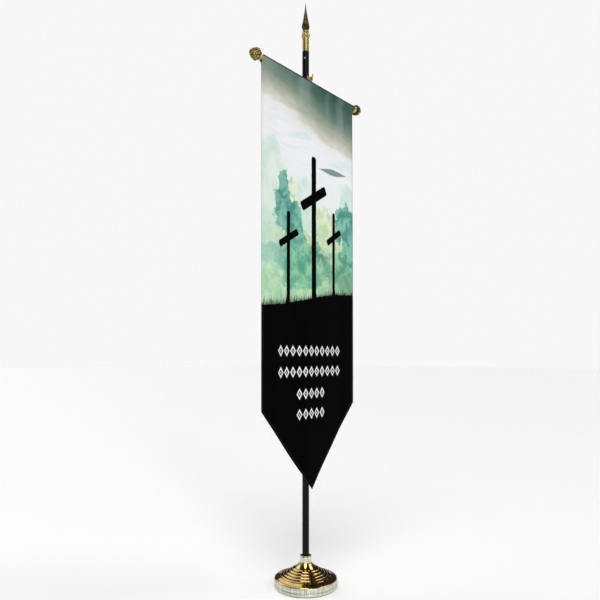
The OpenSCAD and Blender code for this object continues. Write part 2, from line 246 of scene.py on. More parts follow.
def brushed_rim():
    """Bright rim band: fine upright strokes crossed by faint rolled lines."""
    n = Nodes("bright_rim")
    point = n.place()
    _, angle, height = round_z(n, point)
    upright = n.vector(n.times(angle, 60.0), n.times(height, 12.0))
    strokes = n.noise(upright, scale=0.7, detail=7.0, roughness=0.75)
    rolled = n.noise(n.vector(height, 0.0), scale=900.0, detail=2.0)
    patches = n.noise(point, scale=22.0, detail=4.0)
    colour = n.mix(n.step(strokes, 0.36, 0.62), rgb(150, 150, 130), rgb(238, 240, 228))
    colour = n.mix(n.step(patches, 0.5, 0.8, 0.0, 0.4), colour, rgb(186, 178, 146))
    from_seam = n.absolute(n.minus(height, RIM_SEAM_Z))
    colour = n.mix(n.step(from_seam, 1.6 * MM, 0.5 * MM, 0.0, 0.75), colour, rgb(84, 80, 60))
    relief = n.plus(strokes, n.times(rolled, 0.5))
    return n.finish(
        Base_Color=colour,
        Metallic=1.0,
        Roughness=n.step(strokes, 0.2, 0.8, 0.26, 0.44),
        Normal=n.bump(relief, 0.2 * MM, 0.8),
    )


def aged_brass(name, bright, dark, cover):
    """Cast brass with clouds of dark patina; more cover darkens more of it."""
    n = Nodes(name)
    point = n.place()
    clouds = n.noise(point, scale=110.0, detail=6.0, roughness=0.65)
    patina = n.step(clouds, 0.40 - cover, 0.74)
    pores = n.noise(point, scale=900.0, detail=3.0)
    return n.finish(
        Base_Color=n.mix(patina, bright, dark),
        Metallic=1.0,
        Roughness=n.plus(n.times(patina, 0.22), 0.2),
        Normal=n.bump(pores, 0.04 * MM, 0.5),
    )


def turned_metal(name, bright, dark, shine):
    """Machined metal with fine tool lines and slight staining."""
    n = Nodes(name)
    point = n.place()
    _, _, z = n.split(point)
    lines = n.noise(n.vector(z, 0.0), scale=1500.0, detail=2.0, roughness=0.6)
    stain = n.step(n.noise(point, scale=60.0, detail=4.0, roughness=0.55), 0.45, 0.75, 0.0, 0.5)
    return n.finish(
        Base_Color=n.mix(stain, bright, dark),
        Metallic=1.0,
        Roughness=n.step(lines, 0.2, 0.8, shine, shine + 0.1),
        Normal=n.bump(lines, 0.006 * MM, 0.5),
    )


def black_enamel():
    """Satin black paint on a tube, with faint orange peel, dust and rub marks."""
    n = Nodes("black_enamel")
    point = n.place()
    peel = n.noise(point, scale=420.0, detail=3.0)
    dust = n.noise(n.scaled(point, 1, 1, 0.25), scale=55.0, detail=5.0, roughness=0.65)
    return n.finish(
        Base_Color=n.mix(n.step(dust, 0.5, 0.8, 0.0, 0.4), rgb(6, 5, 5), rgb(20, 17, 16)),
        Roughness=n.step(dust, 0.3, 0.8, 0.2, 0.36),
        Specular_IOR_Level=0.14,
        Normal=n.bump(peel, 0.03 * MM, 0.4),
    )


def rough_solid(name, dark, light, grain, depth, roughness, metallic=0.0):
    """A mottled, grainy material: cast iron, felt or moulded plastic."""
    n = Nodes(name)
    point = n.place()
    coarse = n.noise(point, scale=grain * 0.2, detail=5.0, roughness=0.6)
    fine = n.noise(point, scale=grain, detail=4.0, roughness=0.7)
    return n.finish(
        Base_Color=n.mix(n.step(coarse, 0.35, 0.7), dark, light),
        Metallic=metallic,
        Roughness=n.step(fine, 0.2, 0.8, roughness - 0.1, roughness + 0.08),
        Normal=n.bump(fine, depth, 0.8),
    )


def thread():
    """Twisted sewing thread and cord."""
    n = Nodes("thread")
    twist = n.noise(n.place(), scale=1500.0, detail=2.0)
    return n.finish(
        Base_Color=n.mix(twist, rgb(40, 52, 47), rgb(92, 108, 100)),
        Roughness=0.7,
        Normal=n.bump(twist, 0.08 * MM, 0.6),
    )


# ---------- the printed cloth ----------

PRINT_SPAN = 1.75                   # metres of cloth in the print's unit square
THREAD_PITCH = 0.9 * MM
SKY_LOW = 1.12                      # the sky's colour ramp starts at this height and is 1 m long
SKY_TINTS = [
    (1.15, rgb(178, 214, 184)), (1.45, rgb(214, 230, 214)), (1.62, rgb(228, 232, 232)),
    (1.80, rgb(232, 233, 238)), (1.872, rgb(226, 226, 224)), (1.892, rgb(200, 200, 186)),
    (1.935, rgb(166, 170, 154)), (1.98, rgb(118, 134, 120)), (2.03, rgb(78, 106, 96)),
    (2.09, rgb(52, 82, 74)),
]
# banks of mist, far to near: soft ovals (x, z, half width, half height), the height below which the bank
# fills the width, how soft its edge is, the scale of its billows, and its tints: edge, body and foot
MISTS = [
    (((-0.25, 1.66, 0.11, 0.17), (-0.05, 1.60, 0.08, 0.12), (0.27, 1.63, 0.08, 0.13)),
     1.50, 0.50, 9.0,
     rgb(218, 230, 222), rgb(200, 220, 208), rgb(196, 220, 200)),
    (((-0.115, 1.615, 0.034, 0.075), (0.05, 1.50, 0.035, 0.08), (0.10, 1.53, 0.04, 0.09),
      (0.15, 1.49, 0.035, 0.08)),
     1.43, 0.16, 16.0,
     rgb(226, 230, 206), rgb(188, 208, 172), rgb(168, 204, 164)),
    (((-0.180, 1.625, 0.036, 0.085), (-0.175, 1.545, 0.070, 0.105), (-0.125, 1.495, 0.072, 0.105),
      (-0.095, 1.435, 0.060, 0.085), (0.205, 1.525, 0.030, 0.095), (0.250, 1.545, 0.042, 0.12),
      (0.290, 1.50, 0.045, 0.14), (0.255, 1.42, 0.045, 0.10)),
     1.36, 0.14, 15.0,
     rgb(122, 184, 166), rgb(56, 134, 122), rgb(128, 188, 160)),
    (((0.00, 1.365, 0.11, 0.085), (-0.09, 1.33, 0.10, 0.06), (0.22, 1.34, 0.09, 0.07)),
     1.29, 0.22, 13.0,
     rgb(150, 204, 168), rgb(66, 140, 122), rgb(128, 188, 150)),
    (((-0.26, 1.27, 0.10, 0.06), (0.13, 1.235, 0.10, 0.05)),
     1.215, 0.30, 17.0,
     rgb(198, 224, 188), rgb(156, 202, 164), rgb(172, 210, 170)),
]
# the long dark wisp: its middle, half sizes, and how far it climbs per metre
WISP_X = 0.155
WISP_Z = 1.742
WISP_HALF_LENGTH = 0.112
WISP_HALF_HEIGHT = 0.0145
WISP_RISE = 0.056
HILL_FOOT = 1.10                    # the posts' feet, inside the dark hill
# post x, post width, post top z, arm centre z, arm half length, arm thickness, arm rise in degrees
CROSSES = [
    (0.018, 0.031, 1.786, 1.612, 0.096, 0.039, 31),
    (-0.142, 0.021, 1.530, 1.424, 0.066, 0.027, 30),
    (0.162, 0.020, 1.576, 1.469, 0.060, 0.026, 32),
]
# pitch of the blades, height of the tallest, seed
GRASS_LAYERS = [(0.0070, 0.046, 3.1), (0.0100, 0.064, 17.7), (0.0055, 0.030, 41.3), (0.0082, 0.042, 73.9)]
# row z, how many lozenges
LOZENGE_ROWS = [(0.975, 11), (0.89, 11), (0.80, 5), (0.717, 5)]
LOZENGE_PITCH = 0.038
LOZENGE_HALF_W = 0.0165
LOZENGE_HALF_H = 0.023


def blob(n, x, z, centre_x, centre_z, half_w, half_h):
    """1 at the middle of a soft oval patch, falling to 0 at its edge."""
    dx = n.over(n.minus(x, centre_x), half_w)
    dz = n.over(n.minus(z, centre_z), half_h)
    square = n.plus(n.times(dx, dx), n.times(dz, dz))
    return n.step(square, 1.0, 0.0)


def ragged(n, x, z, seed, scale, reach):
    """Print coordinates pushed about by noise, so that a plain shape drawn with them gets a torn edge."""
    inputs = {"Vector": n.vector(x, z, seed), "Scale": scale, "Detail": 7.0, "Roughness": 0.66}
    push_x, push_z, _ = n.split(n.add("ShaderNodeTexNoise", inputs).outputs["Color"])
    return (n.times_plus(n.minus(push_x, 0.5), reach, x),
            n.times_plus(n.minus(push_z, 0.5), reach * 1.4, z))


def long_wisp(n, x, z):
    """1 on one long dark wisp with drawn-out ends."""
    along = n.over(n.minus(x, WISP_X), WISP_HALF_LENGTH)
    body = n.larger(n.minus(1.0, n.times(along, along)), 0.0)
    frayed = n.wobble(n.vector(x, z, 31.0), reach=0.006, scale=40.0, detail=5.0, roughness=0.6)
    up = n.absolute(n.minus(n.times_plus(x, -WISP_RISE, z), WISP_Z))
    half_height = n.times(n.math("POWER", body, 1.5), WISP_HALF_HEIGHT)
    room = n.minus(half_height, n.plus(up, frayed))
    return n.step(room, -0.001, 0.004, 0.0, 0.85)


def sky_height(n, x, z):
    """The height that picks the sky's tint. The dark top reaches lower to the right, with a torn edge."""
    drift = n.wobble(n.vector(x, z), reach=0.07, scale=4.0, detail=5.0, roughness=0.6)
    leaning = n.scaled(n.vector(n.times_plus(z, 0.5, x), z), 1, 2.4, 1)
    strokes = n.noise(leaning, scale=7.0, detail=6.0, roughness=0.6, distortion=0.6)
    tear = n.times(n.minus(strokes, 0.5), 0.075)
    slanted = n.times_plus(x, 0.2, n.minus(z, 0.018))
    return n.plus(n.plus(slanted, drift), tear)


def clear_sky(n, x, z):
    """The sky behind the mist: a dark top with shafts of light, and a pale part with wisps."""
    high = sky_height(n, x, z)
    colour = n.ramp(n.minus(high, SKY_LOW), [(at - SKY_LOW, tint) for at, tint in SKY_TINTS])
    # shafts of paler light down from the top, and a pale upper corner
    streaks = n.noise(n.vector(n.times_plus(z, 0.12, x), 0.0), scale=8.0, detail=2.0, roughness=0.5)
    dark_zone = n.step(high, 1.90, 2.0)
    shafts = n.times(n.step(streaks, 0.42, 0.72, 0.0, 0.3), dark_zone)
    colour = n.mix(shafts, colour, rgb(176, 196, 188))
    corner = n.times(n.step(x, -0.06, -0.30, 0.0, 0.2), dark_zone)
    colour = n.mix(corner, colour, rgb(176, 190, 184))
    # long wisps in the pale part, cool ones and warm ones
    drawn_out = n.scaled(n.vector(n.times_plus(z, 0.35, x), z), 1, 5.5, 1)
    wisps = n.noise(drawn_out, scale=4.2, detail=5.0, roughness=0.6, distortion=0.5)
    band = n.times(n.step(z, 1.60, 1.72), n.step(high, 1.93, 1.86))
    cool = n.times(n.step(wisps, 0.52, 0.66, 0.0, 0.6), band)
    colour = n.mix(cool, colour, rgb(198, 220, 218))
    warm = n.times(n.step(wisps, 0.46, 0.34, 0.0, 0.3), band)
    colour = n.mix(warm, colour, rgb(216, 214, 206))
    return n.mix(long_wisp(n, x, z), colour, rgb(92, 122, 106))


def mist_banks(n, x, z, colour):
    """Banks of mist laid over a colour, the far ones first."""
    for number, (ovals, fill_z, soft, scale, edge_tint, body_tint, foot_tint) in enumerate(MISTS):
        warped_x, warped_z = ragged(n, x, z, number * 3.7, scale, 0.12)
        body = n.step(warped_z, fill_z + 0.05, fill_z - 0.03)
        for oval in ovals:
            body = n.larger(body, blob(n, warped_x, warped_z, *oval))
        billow_place = n.vector(x, z, number + 9.0)
        billows = n.noise(billow_place, scale=scale * 1.2, detail=6.0, roughness=0.6, distortion=0.5)
        inside = n.mix(n.step(billows, 0.40, 0.60), body_tint, edge_tint)
        inside = n.mix(n.step(warped_z, fill_z + 0.12, fill_z - 0.02, 0.0, 0.5), inside, foot_tint)
        colour = n.mix(n.step(body, 0.12, 0.12 + soft, 0.0, 0.94), colour, inside)
    return colour


def misty_sky(n, x, z):
    """Soft green and grey mist: dark at the top, pale in the middle, mint and teal low down."""
    colour = mist_banks(n, x, z, clear_sky(n, x, z))
    # a pale yellow-green glow behind the middle
    veins = n.noise(n.vector(x, z, 5.0), scale=24.0, detail=7.0, roughness=0.72, distortion=0.9)
    glow = n.times(blob(n, x, z, 0.10, 1.42, 0.17, 0.20), n.step(veins, 0.48, 0.62, 0.0, 0.75))
    colour = n.mix(glow, colour, rgb(206, 214, 168))
    # a darker lower right
    shade = n.times(n.step(x, 0.0, 0.28), n.step(z, 1.42, 1.24, 0.0, 0.5))
    colour = n.mix(shade, colour, rgb(92, 120, 98))
    # a pale haze low on the left
    left = n.step(x, -0.12, -0.29, 0.0, 0.55)
    low = n.times(n.step(z, 1.24, 1.34), n.step(z, 1.56, 1.42))
    return n.mix(n.times(left, low), colour, rgb(190, 222, 206))


def rounded_bar(n, along, across, half_length, half_width, rounding):
    """1 inside a bar with rounded corners; along and across are distances from its middle."""
    square = 0.0
    for distance, half in ((along, half_length), (across, half_width)):
        past = n.larger(n.minus(n.absolute(distance), half - rounding), 0.0)
        square = n.times_plus(past, past, square)
    return n.below(square, rounding * rounding)


def grass_blades(n, x, z, hill):
    """1 on the blades of each layer of grass, leaning at random and taller to the left."""
    layers = []
    reach = n.step(x, 0.02, -0.22, 0.6, 1.0)
    for pitch, tall, seed in GRASS_LAYERS:
        place = n.over(n.plus(x, seed), pitch)
        chance = n.add("ShaderNodeTexWhiteNoise", {"W": n.math("FLOOR", place)}, noise_dimensions="1D")
        for_height, for_lean, for_width = n.split(chance.outputs["Color"])
        height = n.times(n.times_plus(for_height, tall * 0.8, tall * 0.2), reach)
        up = n.over(n.minus(z, hill), height)
        across = n.times(n.minus(n.math("FRACT", place), 0.5), pitch)
        lean = n.times(n.times(n.minus(for_lean, 0.5), pitch * 0.8), n.times(up, up))
        away = n.absolute(n.minus(across, lean))
        half = n.times(n.minus(1.0, up), n.times_plus(for_width, 0.0010, 0.0008))
        layers.append(n.below(away, half))
    return layers


def crosses(n, x, z):
    """1 on each post and each slanting arm."""
    bars = []
    grain = n.wobble(n.vector(x, z), reach=0.003, scale=70.0)
    for post_x, post_w, post_top, arm_z, arm_half, arm_t, rise in CROSSES:
        turn = math.radians(rise)
        dx = n.plus(n.minus(x, post_x), grain)
        dz = n.minus(z, arm_z)
        post_half = (post_top - HILL_FOOT) / 2
        up = n.minus(z, HILL_FOOT + post_half)
        bars.append(rounded_bar(n, up, dx, post_half, post_w / 2, post_w * 0.4))
        along = n.plus(n.times(dx, math.cos(turn)), n.times(dz, math.sin(turn)))
        across = n.minus(n.times(dz, math.cos(turn)), n.times(dx, math.sin(turn)))
        bars.append(rounded_bar(n, along, n.plus(across, grain), arm_half, arm_t / 2, arm_t * 0.25))
    return bars


def silhouettes(n, x, z):
    """1 on the dark hill, its grass and the three crosses."""
    rise = n.step(x, -0.33, 0.27, 1.148, 1.225)
    hill = n.plus(rise, n.wobble(n.vector(x, 0.0), reach=0.006, scale=30.0))
    return n.most([n.below(z, hill)] + grass_blades(n, x, z, hill) + crosses(n, x, z))


def lozenge_rows(n, x, z):
    """1 on rows of hollow lozenges, a plain woven-border ornament."""
    marks = []
    for row_z, count in LOZENGE_ROWS:
        # whole pitches are added so that the fraction is taken of a positive number
        start = 10 * LOZENGE_PITCH + (count % 2) * LOZENGE_PITCH / 2
        place = n.over(n.plus(x, start), LOZENGE_PITCH)
        off_middle = n.absolute(n.minus(n.math("FRACT", place), 0.5))
        across = n.times(off_middle, LOZENGE_PITCH / LOZENGE_HALF_W)
        up = n.over(n.absolute(n.minus(z, row_z)), LOZENGE_HALF_H)
        far = n.plus(across, up)
        ring = n.times(n.below(far, 1.0), n.below(0.58, far))
        dot = n.below(far, 0.2)
        inside = n.below(n.absolute(x), count * LOZENGE_PITCH / 2)
        marks.append(n.times(n.larger(ring, dot), inside))
    return n.most(marks)


def printed_cloth(name, fade):
    """Woven polyester with the picture printed through it; fade pales the colours, as on the back."""
    n = Nodes(name)
    u, v, _ = n.split(n.add("ShaderNodeUVMap", uv_map="print").outputs[0])
    x = n.times_plus(u, PRINT_SPAN, -HALF_W)
    z = n.times_plus(v, PRINT_SPAN, POINT_Z)
    colour = misty_sky(n, x, z)
    colour = n.mix(silhouettes(n, x, z), colour, rgb(1, 1, 2))
    colour = n.mix(lozenge_rows(n, x, z), colour, rgb(226, 226, 224))
    # the ink is thin at the folded side edges
    edge = n.step(n.absolute(x), HALF_W - 3.4 * MM, HALF_W - 1.2 * MM, 0.0, 0.6)
    colour = n.mix(edge, colour, rgb(150, 152, 150))
    # painted shade: a dark band just below the rod pocket's top, above the crossbar's front
    from_painted_shade = n.absolute(n.minus(z, apex_height() - 10 * MM))
    colour = n.mix(n.step(from_painted_shade, 11 * MM, 7 * MM, 0.0, 0.8), colour, rgb(34, 42, 40))
    threads_x = n.math("SINE", n.times(x, 2 * math.pi / THREAD_PITCH))
    threads_z = n.math("SINE", n.times(z, 2 * math.pi / THREAD_PITCH))
    weave = n.times(threads_x, threads_z)
    slub = n.noise(n.scaled(n.vector(x, z), 1, 14, 1), scale=60.0, detail=3.0)
    colour = n.mix(n.step(weave, 1.0, -1.0, 0.0, 0.07), colour, rgb(0, 0, 0))
    if fade:
        colour = n.mix(fade, colour, rgb(188, 190, 186))
    return n.finish(
        Base_Color=colour,
        Roughness=n.step(slub, 0.3, 0.7, 0.62, 0.8),
        Specular_IOR_Level=0.02,
        Normal=n.bump(n.plus(weave, n.times(slub, 1.2)), 0.05 * MM, 0.5),
    )


# ---------- materials ----------

polished = spun_brass("polished_brass", rgb(190, 166, 104), rgb(66, 40, 18), 0.05, ringed=True)
# painted reflection: the collar's brass is given a pale silvery colour that stands for the bright room it
# mirrors
collar_brass_painted_pale = spun_brass("collar_brass_painted_pale", rgb(212, 208, 190), rgb(140, 132, 108), 0.16)
turned_brass = turned_metal("turned_brass", rgb(178, 160, 104), rgb(124, 106, 62), 0.14)
antique_spear = aged_brass("antique_brass_spear", rgb(84, 72, 44), rgb(34, 28, 17), 0.12)
antique_finial = aged_brass("antique_brass_finial", rgb(112, 96, 54), rgb(40, 32, 16), 0.14)
leaf_brass = aged_brass("antique_brass_leaf", rgb(186, 164, 100), rgb(50, 40, 20), 0.08)
cup_brass = aged_brass("antique_brass_cup", rgb(196, 176, 112), rgb(70, 54, 26), 0.0)
zinc = turned_metal("plated_steel", rgb(206, 206, 204), rgb(140, 140, 136), 0.24)
enamel = black_enamel()
plastic = rough_solid("black_plastic", rgb(20, 20, 20), rgb(34, 34, 34), 900.0, 0.03 * MM, 0.5)
iron = rough_solid("cast_weight", rgb(40, 39, 38), rgb(70, 66, 62), 420.0, 0.3 * MM, 0.75, 0.6)
felt = rough_solid("felt", rgb(30, 34, 31), rgb(58, 62, 56), 1300.0, 0.4 * MM, 0.92)

MATERIAL_OF = {
    "base_pad": felt, "base_rim": brushed_rim(), "base_plate": zinc, "base_weight": iron,
    "base_shell": polished, "base_collar": collar_brass_painted_pale, "base_socket": zinc, "socket_liner": plastic,
    "base_bolt": zinc, "bolt_washer": zinc, "collar_screw": turned_brass, "pole_foot": plastic,
    "lower_pole": enamel, "upper_pole": enamel, "crossbar": enamel, "joint_socket": turned_brass,
    "joint_stud": turned_brass, "top_plug": turned_brass, "bar_plugs": turned_brass,
    "plug_screw": zinc, "hook_screws": zinc, "hanger_screws": zinc, "spear_stud": zinc,
    "left_stud": zinc, "right_stud": zinc, "pole_hook": turned_brass, "crossbar_hanger": turned_brass,
    "spear_ferrule": turned_brass, "spear_bead": turned_brass, "spear_head": antique_spear,
    "left_cup": cup_brass, "right_cup": cup_brass,
    "left_acorn": antique_finial, "right_acorn": antique_finial,
}
for node_name, material in MATERIAL_OF.items():
    node_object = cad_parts[node_name]
    node_object.data.materials.clear()
    node_object.data.materials.append(material)


# ---------- meshes ----------

def new_piece(name, vertices, faces, materials, body, slot, smooth=True):
    """A mesh object that rides on a body."""
    mesh = bpy.data.meshes.new(name)
    mesh.from_pydata(vertices, [], faces)
    mesh.polygons.foreach_set("use_smooth", [smooth] * len(faces))
    for material in materials:
        mesh.materials.append(material)
    mesh.update()
    piece = bpy.data.objects.new(name, mesh)
    scene.collection.objects.link(piece)
    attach(piece, body)
    return piece


def merged(parts):
    """Several (vertices, faces) lists as one."""
    vertices, faces = [], []
    for part_vertices, part_faces in parts:
        start = len(vertices)
        vertices += part_vertices
        faces += [tuple(i + start for i in face) for face in part_faces]
    return vertices, faces


def line(a, b, count):
    """Evenly spaced points in two dimensions from a to b, count steps apart."""
    return [(a[0] + (b[0] - a[0]) * k / count, a[1] + (b[1] - a[1]) * k / count) for k in range(count + 1)]


def print_place(x, height):
    """Where a point of the cloth lies in the print's unit square."""
    return ((x + HALF_W) / PRINT_SPAN, (height - POINT_Z) / PRINT_SPAN)


def lay_print(piece, places):
    """Give a piece the print's map, one place for each vertex."""
    layer = piece.data.uv_layers.new(name="print")
    for loop in piece.data.loops:
        layer.data[loop.index].uv = places[loop.vertex_index]


# ---------- the banner ----------

def wave(x, drop):
    """How far the hanging cloth stands out of its plane, drop metres below the seam."""
    slack = min(1.0, max(0.0, drop) / 0.7)
    ripple = math.sin(2 * math.pi * (x / 0.31 + 0.15) + 0.5 * drop)
    ripple += 0.5 * math.sin(2 * math.pi * (x / 0.17 - 0.3) - 1.1 * drop)
    curl = max(0.0, drop - 1.3) ** 2 * 0.02
    return -(slack * 2.2 * MM * ripple + curl)


def cloth_point(x, drop, back=0.0):
    """A point of the hanging panel, drop metres below the seam and back metres behind its middle."""
    return Vector((x, BAR_Y + wave(x, drop) + back, SEAM_Z - drop))


def half_width_at(z):
    """Half the banner's width at a height, narrowing to the point below the shoulders."""
    if z >= SHOULDER_Z:
        return HALF_W
    return HALF_W * max(0.0, z - POINT_Z) / POINT_DEPTH


def pocket_path():
    """Points (y, z) and print heights up the back of the rod pocket, over the bar and down its front."""
    opening = math.acos(POCKET_R / (BAR_Z - SEAM_Z))
    ply = 0.6 * CLOTH_T
    back = [(BAR_Y + 1.6 * ply, SEAM_Z - FLAP), (BAR_Y + 1.4 * ply, SEAM_Z)]
    arc = []
    turns = 26
    for k in range(turns + 1):
        angle = opening + k * (2 * math.pi - 2 * opening) / turns
        arc.append((BAR_Y + POCKET_R * math.sin(angle), BAR_Z - POCKET_R * math.cos(angle)))
    front = (BAR_Y, SEAM_Z)
    rise = line(back[-1], arc[0], 5)[1:-1]
    descent = line(arc[-1], front, 5)[1:-1]
    points = back + rise + arc + descent + [front]
    heights = [SEAM_Z] * len(points)
    for k in range(len(points) - 2, -1, -1):
        heights[k] = heights[k + 1] + math.dist(points[k], points[k + 1])
    return points, heights


def apex_height():
    """The print's height at the highest point of the rod pocket."""
    points, heights = pocket_path()
    return max(zip(points, heights), key=lambda pair: pair[0][1])[1]


def banner_sheet():
    """One continuous cloth: turned-under flap, rod pocket with its notch, and the panel with its point.

    Returns the piece and the length of cloth in the flap and round the pocket.
    """
    columns = sorted({round(k * HALF_W / 42, 5) for k in range(-42, 43)} | {-NOTCH_HALF, NOTCH_HALF})
    shares = [x / HALF_W for x in columns]
    points, heights = pocket_path()
    rows = [[Vector((x, y, z)) for x in columns] for y, z in points]
    drops = [FALL * k / 120 for k in range(1, 121)]
    drops += [FALL + POINT_DEPTH * k / 44 for k in range(1, 45)]
    for drop in drops:
        half = max(half_width_at(SEAM_Z - drop), 0.4 * MM)
        rows.append([cloth_point(half * share, drop) for share in shares])
        heights.append(SEAM_Z - drop)
    width = len(columns)
    faces = []
    for r in range(len(rows) - 1):
        lower = min(rows[r][0].z, rows[r + 1][0].z)
        crosses_notch = r < len(points) - 1 and lower > NOTCH_FROM
        for c in range(width - 1):
            middle = (columns[c] + columns[c + 1]) / 2
            if crosses_notch and abs(middle) < NOTCH_HALF:
                continue
            a = r * width + c
            faces.append((a, a + width, a + width + 1, a + 1))
    vertices = [point for row in rows for point in row]
    piece = new_piece("banner", vertices, faces,
                      [printed_cloth("banner_front", 0.0), printed_cloth("banner_back", 0.42)],
                      "banner", "banner_cloth")
    lay_print(piece, [print_place(point.x, height) for row, height in zip(rows, heights) for point in row])
    thick = piece.modifiers.new("thickness", "SOLIDIFY")
    thick.thickness = CLOTH_T
    thick.offset = 0.0
    thick.material_offset = 1
    thick.material_offset_rim = 1
    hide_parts("banner_sleeve", "banner_panel")
    return piece, heights[0] - SEAM_Z


def strip(path, inward, width, thickness, lift):
    """Vertices and faces of a flat folded hem along a path of (x, drop), inward along a direction."""
    # shares of the width and of the thickness, round the hem's section
    section = ((0.0, 0.0), (0.04, 1.0), (0.96, 1.0), (1.0, 0.0))
    vertices = []
    for x, drop in path:
        for share, rise in section:
            section_x = x + inward[0] * width * share
            section_drop = drop + inward[1] * width * share
            vertices.append(cloth_point(section_x, section_drop, lift + thickness * rise))
    faces = []
    for k in range(len(path) - 1):
        for j in range(3):
            a = 4 * k + j
            faces.append((a, a + 1, a + 5, a + 4))
        faces.append((4 * k + 3, 4 * k, 4 * k + 4, 4 * k + 7))
    last = 4 * (len(path) - 1)
    faces.append((0, 3, 2, 1))
    faces.append((last, last + 1, last + 2, last + 3))
    return vertices, faces


def edges_of_panel():
    """The side and lower edges, just inside the cloth's edge: (x, drop) start and end, inward direction."""
    slant = math.hypot(HALF_W, POINT_DEPTH)
    steepness = POINT_DEPTH / HALF_W
    edges = []
    for side in (-1, 1):
        x = side * (HALF_W - 0.3 * MM)
        edges.append(((x, FLAP + 2 * MM), (x, FALL - 4 * MM), (-side, 0.0)))
        inward = (-side * POINT_DEPTH / slant, -HALF_W / slant)
        start = (side * (HALF_W - 5 * MM), FALL + 5 * MM * steepness - 0.6 * MM)
        end = (side * HEM_W * 1.15, FALL + POINT_DEPTH - HEM_W * 1.15 * steepness - 0.6 * MM)
        edges.append((start, end, inward))
    return edges


def stitch(centre, direction, length, radius):
    """A short thread lying on the cloth: a six-sided bead with pointed ends."""
    along = direction.normalized()
    side = along.cross(Vector((0, 1, 0))).normalized()
    out = side.cross(along)
    vertices = [centre - along * length / 2]
    for share in (-0.28, 0.28):
        for k in range(6):
            angle = k * math.pi / 3
            spoke = side * math.cos(angle) + out * math.sin(angle)
            vertices.append(centre + along * length * share + spoke * radius)
    vertices.append(centre + along * length / 2)
    faces = [(0, 1 + (k + 1) % 6, 1 + k) for k in range(6)]
    faces += [(1 + k, 1 + (k + 1) % 6, 7 + (k + 1) % 6, 7 + k) for k in range(6)]
    faces += [(13, 7 + k, 7 + (k + 1) % 6) for k in range(6)]
    return vertices, faces


def stitch_row(a, b, pitch=4.2 * MM):
    """Stitches on the front of the cloth from a to b, both (x, drop)."""
    count = max(2, round(math.dist(a, b) / pitch))
    direction = Vector((b[0] - a[0], 0, a[1] - b[1]))
    parts = []
    for k in range(count):
        t = (k + 0.5) / count
        x = a[0] + (b[0] - a[0]) * t
        drop = a[1] + (b[1] - a[1]) * t
        parts.append(stitch(cloth_point(x, drop, -CLOTH_T * 0.55), direction, pitch * 0.72, 0.28 * MM))
    return parts


def banner_trim():
    """Hems behind the edges, and the rows of stitches."""
    hems, stitches = [], []
    inset = HEM_W * 0.8
    for start, end, inward in edges_of_panel():
        hems.append(strip(line(start, end, 60), inward, HEM_W, CLOTH_T * 0.9, CLOTH_T * 0.55))
        stitches += stitch_row((start[0] + inward[0] * inset, start[1] + inward[1] * inset),
                               (end[0] + inward[0] * inset, end[1] + inward[1] * inset))
    for drop in (1.5 * MM, 9 * MM):
        stitches += stitch_row((-HALF_W + 3 * MM, drop), (HALF_W - 3 * MM, drop))
    back_cloth = bpy.data.materials["banner_back"]
    hem_piece = new_piece("banner_hems", *merged(hems), [back_cloth], "banner", "banner_cloth",
                          smooth=False)
    lay_print(hem_piece, [print_place(vertex.co.x, vertex.co.z) for vertex in hem_piece.data.vertices])
    stitch_piece = new_piece("banner_stitches", *merged(stitches), [thread()], "banner", "banner_cloth")
    return [hem_piece, stitch_piece]


def tube_along(path, radius, sides=8):
    """A closed-end tube mesh along points."""
    vertices, faces = [], []
    for k, point in enumerate(path):
        ahead = path[min(k + 1, len(path) - 1)] - path[max(k - 1, 0)]
        forward = ahead.normalized()
        if k == 0:
            u = ahead.orthogonal().normalized()
        else:
            u = (u - forward * u.dot(forward)).normalized()
        w = forward.cross(u)
        for j in range(sides):
            angle = 2 * math.pi * j / sides
            vertices.append(point + (u * math.cos(angle) + w * math.sin(angle)) * radius)
    for k in range(len(path) - 1):
        for j in range(sides):
            a = k * sides + j
            b = k * sides + (j + 1) % sides
            faces.append((a, b, b + sides, a + sides))
    faces.append(tuple(range(sides - 1, -1, -1)))
    faces.append(tuple(range((len(path) - 1) * sides, len(path) * sides)))
    return vertices, faces


def notch_binding():
    """Corded edging round the notch in the pocket's top."""
    points, _ = pocket_path()
    over = [(y, z) for y, z in points if z > NOTCH_FROM]
    loop = [Vector((-NOTCH_HALF, y, z)) for y, z in over]
    loop += [Vector((NOTCH_HALF, y, z)) for y, z in reversed(over)]
    loop.append(loop[0])
    rounded = []
    for a, b in zip(loop, loop[1:]):
        rounded += [a.lerp(b, k / 3) for k in range(3)]
    rounded.append(loop[-1])
    return new_piece("notch_binding", *tube_along(rounded, 0.9 * MM), [thread()], "banner", "banner_cloth")


# ---------- relief on the brass ----------

def boss(centre, out, along, size, point=0.0):
    """A low raised boss: centre on the surface, out is its normal, size is (along, across, height).

    point narrows the end that lies along, from a plain oval at 0 to a leaf's tip near 1.
    """
    half_length, half_width, height = size
    side = out.cross(along).normalized()
    along = side.cross(out).normalized()
    sunk = 0.25 * MM                # how far the boss's foot sits below the surface
    rings, around = 4, 16
    vertices, faces = [], []
    for r in range(rings):
        tilt = r / rings * math.pi / 2
        for k in range(around):
            angle = 2 * math.pi * k / around
            narrow = 1 - point * max(0.0, math.cos(angle))
            flat = along * math.cos(angle) * half_length + side * math.sin(angle) * half_width * narrow
            rib = 1 + 0.35 * point * abs(math.cos(angle)) ** 4
            lift = math.sin(tilt) * height * rib - sunk
            vertices.append(centre + flat * math.cos(tilt) + out * lift)
    vertices.append(centre + out * (height - sunk))
    for r in range(rings - 1):
        for k in range(around):
            a = r * around + k
            b = r * around + (k + 1) % around
            faces.append((a, b, b + around, a + around))
    top = (rings - 1) * around
    faces += [(top + k, top + (k + 1) % around, len(vertices) - 1) for k in range(around)]
    faces.append(tuple(range(around - 1, -1, -1)))
    return vertices, faces


